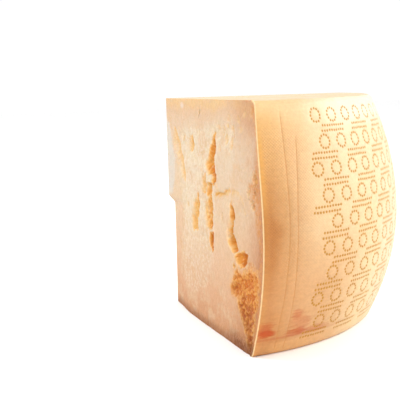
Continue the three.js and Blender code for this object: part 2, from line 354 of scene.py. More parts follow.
def crumbs(u, z, pitch, seed):
    """Rounded crumbs: 1 at a crumb's middle and about 0 at its edge, and a number for each crumb."""
    x, y = u / pitch, z / pitch
    i, j = np.floor(x).astype(np.int64), np.floor(y).astype(np.int64)
    nearest, number = np.full(np.shape(u), np.inf), np.zeros(np.shape(u))
    for di in (-1, 0, 1):
        for dj in (-1, 0, 1):
            middle_x = i + di + lattice(i + di, j + dj, seed)
            middle_y = j + dj + lattice(i + di, j + dj, seed + 1)
            away = np.hypot(x - middle_x, y - middle_y)
            number = np.where(away < nearest, lattice(i + di, j + dj, seed + 2), number)
            nearest = np.minimum(nearest, away)
    return clamp(1 - nearest), number


def rubble(u, z, seed):
    """Crumbs of two sizes heaped unevenly: depth in millimetres, and how pale each place is, which
    varies from crumb to crumb and is highest on their tops, a painted highlight.
    """
    big, big_number = crumbs(u, z, BIG_CRUMB, seed)
    small, small_number = crumbs(u, z, SMALL_CRUMB, seed + 5)
    depth = HEAP_HEIGHT * fractal(u / 13, z / 12, seed + 9)
    depth = depth - BIG_HEIGHT * (big * (0.4 + big_number) - 0.5)
    depth = depth - SMALL_HEIGHT * (small * (0.4 + small_number) - 0.5)
    return depth, 0.55 * big_number * big + 0.45 * small_number * (0.4 + small)


def pits_depth(pits, u, z):
    depth = np.zeros(np.shape(u))
    for u0, z0, half_u, half_z, deepest, lean in pits:
        near = in_lens(u, z, u0, z0, half_u, half_z, lean)
        depth = np.maximum(depth, deepest * smooth(1.6 * near))
    return depth


def hold(u, z):
    """How much of the relief is left near the rind and the flat faces."""
    at_rind = smooth((radius_at(z) - u) / EDGE_HOLD)
    at_top = TOP_SHARE + (1 - TOP_SHARE) * smooth((WHEEL_HEIGHT - z) / FACE_HOLD)
    at_foot = FOOT_SHARE + (1 - FOOT_SHARE) * smooth(z / FACE_HOLD)
    return at_rind * at_top * at_foot


def chip_depth(u, z):
    ledge = CHIP_LEDGE + 1.5 * fractal(u / 7, z / 7, 60)
    below = smooth((ledge + CHIP_LEDGE_HALF - z) / (2 * CHIP_LEDGE_HALF))
    return CHIP_DEPTH * below * smooth((CHIP_REACH - u) / CHIP_REACH)


def lip_inset(from_corner):
    return LIP_DEPTH * (1 - smooth(from_corner / LIP_WIDTH))


def corner_set_back(z):
    return CORNER_SET_BACK * clamp((z - SET_BACK_FROM) / (WHEEL_HEIGHT - SET_BACK_FROM)) ** 2


def layered(x, step, rise):
    """A value cut into flat layers, with short rises between them."""
    level = np.floor(x / step)
    return step * (level + smooth((x / step - level - 1 + rise) / rise))


def flaked(u, z, seed):
    """Depth where thin, leaning layers broke away."""
    layers = layered(2.4 * fractal((u + 0.35 * z) / 24, z / 22, seed, 4), 0.4, 0.7)
    return FLAKY_DEPTH + FLAKE_HEIGHT * layers


def ragged_edge(u, z, seed):
    return RAGGED * fractal(u / 7, z / 4.5, seed, 4)


def whole(u, z, swell, seed):
    """The gentle swell and the grain of a stretch that isn't broken."""
    grain = GRAIN_HEIGHT * fractal(u / 7, z / 5, seed, 4)
    return swell * smooth(u / 30) + grain * smooth(u / 12)


def heaped(u, z, into_cavity, deepest, seed):
    """A crumbled hollow's depth, how much of its brown colour and painted shade it gets, and its
    crumbs' own depth and tone.
    """
    crumb_depth, tone = rubble(u, z, seed)
    bottom = deepest * smooth(into_cavity / 10)
    browned_and_shaded = smooth((into_cavity + 5) / 11)
    return bottom + smooth((into_cavity + 2) / 6) * crumb_depth, browned_and_shaded, crumb_depth, tone


def opened(u, z, mouths, pits, ledges, crumb_depth, seed):
    """Depth of the hollows, pits and ledges, what crumbled in them, and how much painted gold shade
    they get.
    """
    moved = wobbled(u, z)
    hollow, golden_shade = mouths_depth(mouths, *moved)
    under = ledges_depth(ledges, *moved)
    pitted = np.maximum(pits_depth(pits, *moved), under)
    # painted gold shade in the pits and under the ledges
    golden_shade = np.maximum(golden_shade, clamp(np.maximum(pitted / 9, under / 5)))
    crumbling = (1.1 * fractal(u / 2.6, z / 6, seed, 2) + 0.3 * crumb_depth) * smooth(3 * golden_shade)
    return np.maximum(hollow, pitted), crumbling, golden_shade


def with_edges(u, z, depth):
    return np.maximum(0, depth) * hold(u, z) + chip_depth(u, z) + lip_inset(radius_at(z) - u)


def front_relief(u, z):
    """Depth below the front cut's plane, and what each place is like."""
    ragged = ragged_edge(u, z, 50)
    from_rind = smooth((radius_at(z) - u) / STEP_RISE)
    fade = smooth((STEP_TOP - z) / (STEP_TOP - STEP_FULL)) * from_rind
    fade = fade * (0.2 + 0.8 * smooth((z - 55) / 30))
    past_slab = inside_by(SLAB_SIDE, u, z) + ragged
    step = STEP_DEPTH * fade * smooth(past_slab / (6 - 3.6 * smooth((112 - z) / 8)))
    into_cavity = inside_by(CAVITY, u, z) + 2.3 * ragged
    cavity, browned_and_shaded, crumb_depth, tone = heaped(u, z, into_cavity, CAVITY_DEPTH, 2)
    in_field = smooth((inside_by(FLAKY_FIELD, u, z) + 3 * ragged + 2) / 12)
    field = in_field * flaked(u, z, 30)
    in_strip = smooth((inside_by(RIND_STRIP, u, z) + 2 * ragged) / 5)
    strip = in_strip * (0.6 + 2.4 * fractal(u / 7, z / 6, 33, 4))
    pale = smooth((inside_by(PALE_CRUMBS, u, z) + ragged) / 3)
    places = (FRONT_MOUTHS, FRONT_PITS, FRONT_LEDGES)
    hollow, crumbling, golden_shade = opened(u, z, *places, crumb_depth, 70)
    depth = whole(u, z, 0.9 * noise(u / 46, z / 64, 1), 20) + step + cavity + field
    depth = depth + strip + 0.6 * pale * crumb_depth + hollow + crumbling
    depth = with_edges(u, z, depth) + corner_set_back(z) * clamp(u / radius_at(z)) ** 2
    facet = smooth((inside_by(COOL_LIT_FACET, u, z) + ragged) / 5)
    return {
        "depth": depth, "broken": np.maximum(golden_shade, 0.6 * browned_and_shaded), "flaky": in_field,
        "strip": in_strip, "cavity": browned_and_shaded, "pale": pale, "facet": facet, "tone": tone,
    }


def back_relief(u, z):
    """The same for the back cut."""
    ragged = ragged_edge(u, z, 53)
    past_slab = inside_by(BACK_SLAB_SIDE, u, z) + ragged
    from_rind = smooth((radius_at(z) - u) / STEP_RISE)
    step = BACK_STEP_DEPTH * smooth(past_slab / (3 + 9 * noise(u / 33, z / 33, 57))) * from_rind
    into_cavity = inside_by(BACK_CAVITY, u, z) + 1.6 * ragged + 11 * fractal(u / 22, z / 22, 58)
    cavity, browned_and_shaded, crumb_depth, tone = heaped(u, z, into_cavity, BACK_CAVITY_DEPTH, 90)
    in_field = smooth((past_slab + 2 * ragged) / 14) * smooth((188 - z) / 14) * smooth(u / 14)
    field = in_field * flaked(u, z, 36)
    places = (BACK_MOUTHS, BACK_PITS, BACK_LEDGES)
    hollow, crumbling, golden_shade = opened(u, z, *places, crumb_depth, 76)
    depth = whole(u, z, 2 * noise(u / 40, z / 55, 5), 24) + step + cavity + field
    return {
        "depth": with_edges(u, z, depth + hollow + crumbling),
        "broken": np.maximum(golden_shade, 0.6 * browned_and_shaded), "flaky": in_field, "cavity": browned_and_shaded,
        "tone": tone, **dict.fromkeys(("strip", "pale", "facet"), 0 * u),
    }


def lie_of(relief, u, z):
    """How steeply a place faces the rind, and how far it stands out or lies in: masks for painted
    glow, highlight and shade on the cuts.
    """
    moves = np.array([(0, 0), (-1, 0), (1, 0), (0, -1), (0, 1)]) * LIE_REACH
    own, inward, outward, below, above = (relief(u + du, z + dz)["depth"] for du, dz in moves)
    sunk = own - (inward + outward + below + above) / 4
    return smooth((outward - inward) / (2 * LIE_REACH)), smooth(-sunk / 0.5), smooth(sunk / 0.5)


def scattered_pits(count, seed):
    """Small pits at places drawn for each, in the form of the front cut's."""
    draws = [[lattice(k, draw, seed) for draw in range(6)] for k in range(count)]
    return [
        (30 + 165 * u, 40 + 146 * z, 2.2 + 2 * wide, 4 + 5 * tall, 0.9 + 0.9 * deep, lean - 0.5)
        for u, z, wide, tall, deep, lean in draws
    ]


BACK_PITS = scattered_pits(18, seed=97)
BACK_MOUTHS = [
    (crevice(spine, half_width, 61 + k), deepest, fall, deepest / 5)
    for k, (spine, half_width, deepest, fall) in enumerate(BACK_CREVICES)
]


# ---- the pricked pattern: rows of dotted rings between rows of dotted bars ----
def prick_marks():
    """Centres of all the pricks, as (a, z)."""
    marks = []
    ring_count = round(2 * math.pi * RING_RADIUS / PRICK_STEP)
    ring_turns = np.arange(ring_count) * 2 * math.pi / ring_count
    for row in range(ROWS):
        bar_z = FIRST_ROW + row * ROW_PITCH
        offset = ROW_OFFSETS[row % len(ROW_OFFSETS)]
        dots = np.arange(0, BAR_LENGTH, PRICK_STEP)
        for start in np.arange(PRICK_START + offset, PRICK_END - BAR_LENGTH, BAR_PITCH):
            for line, shift in ((-2.0, 0.0), (2.0, PRICK_STEP / 2)):
                marks += [(start + dot + shift, bar_z + line) for dot in dots]
        ring_z = bar_z + ROW_PITCH / 2
        first = PRICK_START + RING_RADIUS + (RING_PITCH / 2 + offset) % RING_PITCH
        for centre in np.arange(first, PRICK_END - RING_RADIUS, RING_PITCH):
            marks += [
                (centre + RING_RADIUS * math.sin(t), ring_z + 0.9 * RING_RADIUS * math.cos(t))
                for t in ring_turns
            ]
    marks = np.array(marks)
    return marks + rng.normal(0, 0.12, marks.shape)


def seam_place(seam, z):
    """How far round the rind a seam is at some height."""
    ways, heights = zip(*seam)
    return np.interp(z, heights, ways) + 0.8 * (noise(z / 23, 0 * z + ways[0], 82) - 0.5)


def on_seams(a, z, shift=0.0):
    found = 0 * a
    for seam in SEAMS:
        near = smooth(1 - np.abs(a - shift - seam_place(seam, z)) / SEAM_HALF)
        near = near * smooth((seam[-1][1] - z) / 12) * smooth((z - seam[0][1]) / 3)
        found = np.maximum(found, near)
    return found


def rind_inset(a, z):
    """How far the rind's surface lies inside the plain barrel, apart from the pricks."""
    uneven = 0.5 * (noise(a / 60, z / 45, 80) + 0.4 * noise(a / 16, z / 13, 81))
    fade = smooth(a / 8) * smooth((QUARTER_ARC - a) / 8)
    fade = fade * smooth((WHEEL_HEIGHT - z) / 6) * smooth(z / 4)
    foot_line = 0.35 * smooth(1 - np.abs(z - FOOT_LINE) / 1.6) * smooth((a - 8) / 8)
    lip = (lip_inset(a) + lip_inset(QUARTER_ARC - a)) * (z > 0.5) * (z < WHEEL_HEIGHT - 0.5)
    return uneven * fade + SEAM_DEPTH * on_seams(a, z) + foot_line + lip


# ---- places in the frame, in millimetres ----
def on_cut(u, z, depth, on_back):
    """Places on a cut face, so far out from the axis, up, and in from the cut's plane."""
    x, y = (u, depth) if on_back else (depth, u)
    return row_of(AXIS[0] + x, AXIS[1] - y, z)


def on_rind(a, way, inset):
    """Places on the rind, which starts at the front cut's corner, set back higher up."""
    z = height_at(way)
    radius = np.interp(way, PROFILE_WAY, PROFILE_R) - inset
    first = np.arcsin((corner_set_back(z) + lip_inset(0.0)) / radius)
    last = math.pi / 2 - np.arcsin(lip_inset(0.0) / radius)
    turn = first + (last - first) * a / QUARTER_ARC
    return row_of(AXIS[0] + radius * np.sin(turn), AXIS[1] - radius * np.cos(turn), z)


# ---- the points of a patch ----
def row_of(*measures):
    """A row of points, some of whose measures may be one number for all of them."""
    return np.column_stack(np.broadcast_arrays(*measures))


def joined(*rows):
    """A closed border of rows that each start where the one before ends."""
    return np.concatenate([row[:-1] for row in rows])


def hex_points(width, height, step):
    """A jittered honeycomb of points over a rectangle."""
    rows = np.arange(0, height, step * math.sqrt(3) / 2)
    x, y = np.meshgrid(np.arange(0, width, step), rows)
    x = x + (np.arange(len(rows)) % 2)[:, None] * step / 2
    points = row_of(x.ravel(), y.ravel())
    return points + rng.uniform(-0.12, 0.12, points.shape) * step


def cut_points(relief, steps):
    """Points of a cut face, closest together where it is most broken."""
    chosen = []
    for rank, step in enumerate(steps):
        points = hex_points(WHEEL_RADIUS, WHEEL_HEIGHT, step)
        near = relief(points[:, 0], points[:, 1])
        uneven = np.maximum.reduce([near[name] for name in ("flaky", "strip", "pale")])
        wanted = np.where(uneven > 0.15, 1, 0)
        wanted = np.where(near["broken"] > 0.08, 2, wanted)
        chosen.append(points[wanted == rank])
    return np.concatenate(chosen)


def clear_of(points, taken, cell):
    """The points with none of the taken ones in their own cell of a grid or in the next ones."""
    cells = {(x // cell, y // cell) for x, y in taken}
    clear = [
        all((x // cell + i, y // cell + j) not in cells for i in (-1, 0, 1) for j in (-1, 0, 1))
        for x, y in points
    ]
    return points[np.array(clear)]


def keep_inside(points, border, gap, enough=400):
    """The points that are inside a border polygon and clear of it by a gap."""
    points = clear_of(points, border, gap)
    outline = [tuple(point) for point in border[:: max(1, len(border) // enough)]]
    return points[inside_by(outline, points[:, 0], points[:, 1]) > 0]


# ---- the mesh, and the values that its materials read at each corner of a face ----
VALUES = (
    "broken", "flaky", "strip", "cavity", "pale", "facet", "depth", "way_in", "lip", "prick", "seam",
    "arc", "chalk", "wall", "proud", "sunk", "tone",
)


class Body:
    """Collects patches into one mesh whose patches share their border points."""

    def __init__(self):
        self.places, self.faces, self.slots = [], [], []
        self.values = {name: [] for name in VALUES}
        self.known = {}

    def index(self, place):
        """The place's number; a place that another patch has too keeps its first one."""
        key = tuple(place)
        if key not in self.known:
            self.known[key] = len(self.places)
            self.places.append(key)
        return self.known[key]

    def add(self, flat, places, values, count, slot, mirrored=False):
        """Joins up a patch: flat places to triangulate, of which the first count are its border."""
        loop = [(k, (k + 1) % count) for k in range(count)]
        found = delaunay_2d_cdt([Vector(point) for point in flat.tolist()], loop, [], 1, 1e-7)
        origins = found[3]
        numbers = [self.index(place) for place in places]
        for triangle in found[2]:
            corners = [origins[corner][0] for corner in triangle]
            if mirrored:
                corners.reverse()
            self.faces.append([numbers[corner] for corner in corners])
            self.slots.append(slot)
            for name in VALUES:
                self.values[name] += [values[name][corner] for corner in corners]

    def mesh(self, name):
        mesh = bpy.data.meshes.new(name)
        mesh.from_pydata((np.array(self.places) * MM).tolist(), [], self.faces)
        mesh.polygons.foreach_set("material_index", self.slots)
        mesh.polygons.foreach_set("use_smooth", [True] * len(self.faces))
        for value in VALUES:
            layer = mesh.attributes.new(value, "FLOAT", "CORNER")
            layer.data.foreach_set("value", np.array(self.values[value], dtype=np.float32))
        mesh.update()
        mesh.set_sharp_from_angle(angle=SHARP_ANGLE)
        return mesh


def values_for(count, **given):
    """One value for each point under every name, 0 where nothing is given."""
    return {name: np.broadcast_to(given.get(name, 0.0), (count,)) for name in VALUES}


# ---- the borders that patches share ----
def border_heights():
    """The points up the rind's profile, spaced along it."""
    way = np.linspace(0, PROFILE_LENGTH, round(PROFILE_LENGTH / BORDER_STEP) + 1)
    return way, height_at(way), np.interp(way, PROFILE_WAY, PROFILE_R)


def edge_distance(start, end):
    """Distances from the axis along a cut's top or foot edge."""
    return np.linspace(start, end, round((end - start) / (1.4 * BORDER_STEP)) + 1)


def make_cut(body, relief, other, on_back, steps, slot=0):
    """Adds a cut face and gives back its top and foot edges, from the axis out."""
    way, profile_z, profile_r = border_heights()
    heights = np.linspace(0, WHEEL_HEIGHT, round(WHEEL_HEIGHT / BORDER_STEP) + 1)
    own_axis = relief(0 * heights, heights)["depth"]
    other_axis = other(0 * heights, heights)["depth"]
    foot_u = edge_distance(other_axis[0], profile_r[0])
    top_u = edge_distance(other_axis[-1], profile_r[-1])
    # the border runs up the axis, out along the top, down the rind and back along the foot
    border = joined(
        row_of(other_axis, heights), row_of(top_u, WHEEL_HEIGHT),
        row_of(profile_r, profile_z)[::-1], row_of(foot_u, 0.0)[::-1],
    )
    rind_start = len(heights) + len(top_u) - 2
    rind_end = rind_start + len(profile_r)
    depth = relief(border[:, 0], border[:, 1])["depth"]
    depth[: len(heights)] = own_axis
    depth[rind_start:rind_end] = lip_inset(0.0)
    inner = keep_inside(cut_points(relief, steps), border, 0.55 * steps[1])
    flat = np.concatenate([border, inner])
    u, z = flat[:, 0], flat[:, 1]
    found = relief(u, z)
    depths = np.concatenate([depth, found.pop("depth")[len(border):]])
    from_rind = radius_at(z) - u
    # masks for the painted glow, highlight and shade
    wall, proud, sunk = lie_of(relief, u, z)
    inland = smooth(from_rind / 3) * smooth(u / 3)
    values = values_for(
        len(flat), **found, wall=wall * inland, proud=proud * inland, sunk=sunk * inland,
        depth=depths / 10, way_in=np.minimum(from_rind, 60) / 60,
        lip=1 - smooth(from_rind / LIP_WIDTH), arc=u / 100,
        chalk=smooth(2 * in_lens(u, z, *PALE_SPOT)),
    )
    places = on_cut(u, z, depths, on_back)
    # the axis edge and the rind edge are the same points for both patches that meet there
    places[: len(heights)] = on_cut(other_axis, heights, own_axis, on_back)
    corner = rind_corner(QUARTER_ARC if on_back else 0.0, way)
    places[rind_start:rind_end] = corner[::-1]
    body.add(flat, places, values, len(border), slot, mirrored=on_back)
    top = places[len(heights) - 1 : rind_start + 1]
    foot = np.concatenate([places[rind_end - 1 : len(border)], places[:1]])
    return top, foot[::-1]


def rind_corner(a, way):
    arc = np.full(len(way), a)
    return on_rind(arc, way, rind_inset(arc, height_at(way)))


def make_rind(body, slot=1):
    """Adds the rind with its pricks, and gives back its top and foot arcs."""
    way, _, _ = border_heights()
    arc = np.linspace(0, QUARTER_ARC, round(QUARTER_ARC / (2.2 * BORDER_STEP)) + 1)
    # the border runs round the foot, up the far corner, back round the top, down the near corner
    border = joined(
        row_of(arc, 0.0), row_of(QUARTER_ARC, way), row_of(arc, PROFILE_LENGTH)[::-1],
        row_of(0.0, way)[::-1],
    )
    marks = prick_marks()
    marks[:, 1] = np.interp(marks[:, 1], PROFILE_Z, PROFILE_WAY)
    rims = np.concatenate([
        marks + PRICK_RADIUS * np.array([math.cos(turn), math.sin(turn)])
        for turn in np.arange(6) * math.pi / 3
    ])
    # rows of points follow the seams and the worn corners
    lines = []
    along = np.arange(3.0, PROFILE_LENGTH - 6, 1.8)
    for seam in SEAMS:
        centre = seam_place(seam, height_at(along))
        for share in (-1.0, -0.3, 0.3, 1.0):
            lines.append(row_of(centre + share * SEAM_HALF, along))
    along = np.arange(1.0, PROFILE_LENGTH - 0.8, 1.1)
    near = np.array([0.45, 0.9, 1.4])
    for corner in (*near, *(QUARTER_ARC - near[::-1])):
        lines.append(row_of(corner, along))
    lines = np.concatenate(lines)
    base = hex_points(QUARTER_ARC, PROFILE_LENGTH, RIND_STEP)
    rim_rows = hex_points(QUARTER_ARC, RIM_BAND, RIM_STEP)
    rim_rows[:, 1] += PROFILE_LENGTH - RIM_BAND
    base = np.concatenate([base[base[:, 1] < PROFILE_LENGTH - RIM_BAND], rim_rows])
    base = clear_of(keep_inside(base, border, 1.0), np.concatenate([marks, rims, lines]), POINT_GAP)
    flat = np.concatenate([border, marks, rims, lines, base])
    a, z = flat[:, 0], height_at(flat[:, 1])
    inset, prick = rind_inset(a, z), np.zeros(len(flat))
    first, last = len(border), len(border) + len(marks)
    inset[first:last] += PRICK_DEPTH
    prick[first:last] = 1.0
    prick[last : last + len(rims)] = PRICK_RIM_TINT
    # the seam value is below zero just beside each seam, where a painted highlight goes
    values = values_for(
        len(flat), prick=prick, arc=a / 100, seam=on_seams(a, z) - 0.6 * on_seams(a, z, 1.8),
        lip=1 - smooth(np.minimum(a, QUARTER_ARC - a) / LIP_WIDTH),
    )
    places = on_rind(a, flat[:, 1], inset)
    body.add(flat, places, values, len(border), slot)
    top_start = len(arc) + len(way) - 2
    return places[: len(arc)], places[top_start : top_start + len(arc)][::-1]


def make_flat(body, front_edge, back_edge, arc_edge, height, slot=1):
    """Adds the upper or the lower face between the edges of the other patches."""
    # the three edges run from the axis out, round the arc and back in
    border = joined(front_edge, arc_edge, back_edge[::-1])
    inner = hex_points(WHEEL_RADIUS, WHEEL_RADIUS, FLAT_STEP)
    inner = row_of(AXIS[0] + inner[:, 0], AXIS[1] - inner[:, 1])
    inner = keep_inside(inner, border[:, :2], 1.5)
    flat = np.concatenate([border[:, :2], inner])
    x, y = flat[:, 0] - AXIS[0], AXIS[1] - flat[:, 1]
    places = np.concatenate([border, row_of(*inner.T, height)])
    values = values_for(len(flat), arc=np.arctan2(x, y) * np.hypot(x, y) / 100)
    body.add(flat, places, values, len(border), slot, mirrored=height == 0.0)


# ---- colours: as they look on screen, and how brightly the place is lit there ----
CUT_LIGHT, RIND_LIGHT = 1.66, 1.3


def lit(red, green, blue, light):
    """The base colour that shows as these screen values under that much light."""
    screen = np.array([red, green, blue]) / 255.0
    linear = np.where(screen <= 0.04045, screen / 12.92, ((screen + 0.055) / 1.055) ** 2.4)
    return (*(linear / light).tolist(), 1.0)


def paste(red, green, blue):
    return lit(red, green, blue, CUT_LIGHT)


def crust(red, green, blue):
    return lit(red, green, blue, RIND_LIGHT)


def stops(light, *given):
    """The colours of a gradient, each with the place where it is reached."""
    return [(at, lit(red, green, blue, light)) for at, red, green, blue in given]


# The paste up the cut; its darker, browner stops low down are painted shade towards the foot.
PASTE_UPWARDS = stops(
    CUT_LIGHT, (0.0, 226, 160, 108), (0.03, 242, 186, 140), (0.07, 248, 202, 160),
    (0.105, 248, 213, 174), (0.15, 246, 217, 183), (0.178, 245, 211, 175), (0.188, 244, 203, 162),
    (0.1945, 250, 204, 148), (0.2, 252, 209, 151),
)
PASTE_WARM = paste(244, 201, 158)
PASTE_ROSY = paste(212, 143, 90)
FLAKE_BASE = paste(254, 233, 199)
FLAKE_SHADE = paste(246, 203, 153)
# painted shade and painted glow of light through the paste, on walls that face the rind
WALL_SHADE_AND_GLOW = lit(246, 205, 150, 1.15)
# pale streaks in the flaky field, and a painted highlight on proud edges
FLAKE_PALE_AND_HIGHLIGHT = paste(255, 244, 220)
# painted cool light on the smooth facet by the axis
FACET_COOL_LIGHT = paste(240, 228, 212)
UNDER_RIND = paste(196, 122, 70)
WALL_GLOW = (1.15, 1.03, 0.78, 1.0)  # light that comes through the paste round a crevice
STRIP_BROWN = lit(214, 146, 82, 1.35)
PALE_CRUMB = paste(242, 198, 148)
# painted shade in the hollows, gold and darker the deeper, as if lit through the paste
HOLLOW_DOWNWARDS = [
    (0.0, lit(245, 206, 154, 1.45)), (0.25, lit(236, 185, 112, 1.35)), (0.5, lit(224, 161, 74, 1.25)),
    (0.8, lit(208, 133, 46, 1.15)), (1.1, lit(186, 107, 26, 1.1)),
]
# painted highlight on proud crumbs in the hollows
CRUMB_PALE_HIGHLIGHT = lit(250, 214, 166, 1.3)
# brown, partly painted shade in the cavity's gaps and towards the foot
CAVITY_SHADE_BROWN = lit(156, 72, 4, 1.2)
CAVITY_ORANGE = lit(202, 107, 14, 1.2)
# pale crumbs, partly a painted highlight on their tops
CAVITY_PALE_AND_HIGHLIGHT = lit(224, 152, 68, 1.25)
# painted shade along the foot of the cuts
FOOT_SHADE_BROWN = lit(134, 68, 0, 1.5)
CHALK = paste(252, 236, 222)
LIP_PALE = crust(255, 224, 170)
# Round the rind from the front cut: gold by the cut, cream further round; partly the rind's own
# colour, partly painted light where the key light falls on the right.
RIND_ALONG = stops(
    RIND_LIGHT, (0.0, 180, 106, 34), (0.12, 184, 113, 42), (0.22, 207, 152, 94),
    (0.5, 237, 201, 153), (1.2, 249, 216, 166), (2.4, 250, 232, 201), (2.8, 244, 214, 164),
    (3.4, 238, 202, 148),
)
# higher up paler: partly painted light from above
RIND_HIGH_ALONG = stops(
    RIND_LIGHT, (0.0, 245, 196, 124), (0.35, 242, 195, 139), (0.9, 248, 224, 182),
    (2.4, 248, 225, 181), (3.4, 240, 206, 152),
)
# low down by the front cut darker: partly painted shade
RIND_LOW = crust(215, 153, 94)
# painted shade along the front cut
RIND_SHADE_BROWN = crust(183, 114, 50)
# a creamy band under the top: partly painted light from above
CREAM_ALONG = stops(
    RIND_LIGHT, (0.0, 240, 202, 144), (0.45, 236, 202, 150), (1.0, 250, 234, 200),
    (2.4, 254, 246, 220), (3.4, 246, 220, 174),
)
LIP_GOLD = crust(232, 166, 78)
TOP_CREAM = crust(239, 209, 168)
TOP_TAN = crust(232, 198, 152)
RIND_FOOT = crust(240, 182, 116)
WEAVE_GOLD = crust(214, 146, 76)
SEAM_TAN = crust(206, 140, 74)
# painted highlight beside the seams
SEAM_HIGHLIGHT = crust(253, 226, 168)
STAIN = crust(194, 78, 0)
STAIN_DARK = crust(196, 104, 54)
STAINS = (  # a, z, half sizes, strength
    (9, 20, 12, 4.0, 0.95), (6, 24, 11, 8, 0.6), (38, 17.5, 13, 4, 0.6), (41, 24, 13, 11, 0.35),
    (36, 33, 6, 5, 0.4), (62, 17, 20, 4, 0.38),
)
PRICK_GOLD = crust(198, 138, 28)


# ---- materials ----
class Nodes:
    """Shorthand for building a node material, whose colour is laid on in coats."""

    def __init__(self, name):
        self.material = bpy.data.materials.new(name)
        self.material.use_nodes = True
        self.tree = self.material.node_tree
        self.shader = self.tree.nodes["Principled BSDF"]
        self.colour = None

    def add(self, kind, inputs, **settings):
        node = self.tree.nodes.new("ShaderNode" + kind)
        for name, setting in settings.items():
            setattr(node, name, setting)
        self.feed(node, inputs)
        return node

    def feed(self, node, inputs):
        """Gives each input either another node's output or a constant."""
        for key, given in inputs.items():
            if hasattr(given, "is_output"):
                self.tree.links.new(given, node.inputs[key])
            else:
                node.inputs[key].default_value = given

    def value(self, name):
        return self.add("Attribute", {}, attribute_name=name).outputs["Fac"]

    def place(self):
        return self.add("TexCoord", {}).outputs["Object"]

    def height(self):
        return self.add("SeparateXYZ", {0: self.place()}).outputs["Z"]

    def noise(self, scale, detail, roughness, squeeze=1):
        """Noise that may be finer up and down than it is across."""
        squeezed = self.add("Mapping", {"Vector": self.place(), "Scale": (1, 1, squeeze)})
        inputs = {"Vector": squeezed.outputs["Vector"], "Scale": scale}
        inputs.update({"Detail": detail, "Roughness": roughness})
        return self.add("TexNoise", inputs).outputs["Fac"]

    def math(self, operation, first, second=0.0):
        return self.add("Math", {0: first, 1: second}, operation=operation).outputs[0]

    def plus(self, first, second):
        return self.math("ADD", first, second)

    def minus(self, first, second):
        return self.math("SUBTRACT", first, second)

    def times(self, first, *others):
        for other in others:
            first = self.math("MULTIPLY", first, other)
        return first

    def ramp(self, value, low, high, to_low=0.0, to_high=1.0, kind="SMOOTHSTEP"):
        inputs = dict(enumerate((value, low, high, to_low, to_high)))
        return self.add("MapRange", inputs, interpolation_type=kind).outputs[0]

    def mix(self, share, first, second, blend="MIX"):
        inputs = {"Factor": share, 6: first, 7: second}
        return self.add("Mix", inputs, data_type="RGBA", blend_type=blend).outputs[2]

    def gradient(self, value, given):
        """A colour that runs smoothly through stops of (value, colour)."""
        low, high = given[0][0], given[-1][0]
        node = self.add("ValToRGB", {0: self.ramp(value, low, high, kind="LINEAR")})
        elements = node.color_ramp.elements
        while len(elements) < len(given):
            elements.new(0.5)
        for element, (at, colour) in zip(elements, given):
            element.position = (at - low) / (high - low)
            element.color = colour
        return node.outputs[0]

    def coat(self, colour, *shares):
        """Lays a colour over what is there, as strongly as its shares make when multiplied."""
        self.colour = self.mix(self.times(*shares), self.colour, colour)

    def shade(self, brightness):
        grey = self.add("CombineColor", dict.fromkeys(range(3), brightness)).outputs[0]
        self.colour = self.mix(1.0, self.colour, grey, "MULTIPLY")

    def finish(self, relief, relief_height, roughness, subsurface):
        """Feeds the shader of a waxy surface with fine relief."""
        bump = self.add("Bump", {"Strength": 1.0, "Distance": relief_height, "Height": relief})
        self.feed(self.shader, {
            "Base Color": self.colour, "Roughness": roughness, "Normal": bump.outputs["Normal"],
            "Subsurface Weight": subsurface, "Subsurface Radius": (1.0, 0.45, 0.2),
            "Subsurface Scale": 0.004, "Specular IOR Level": 0.35,
        })
        return self.material


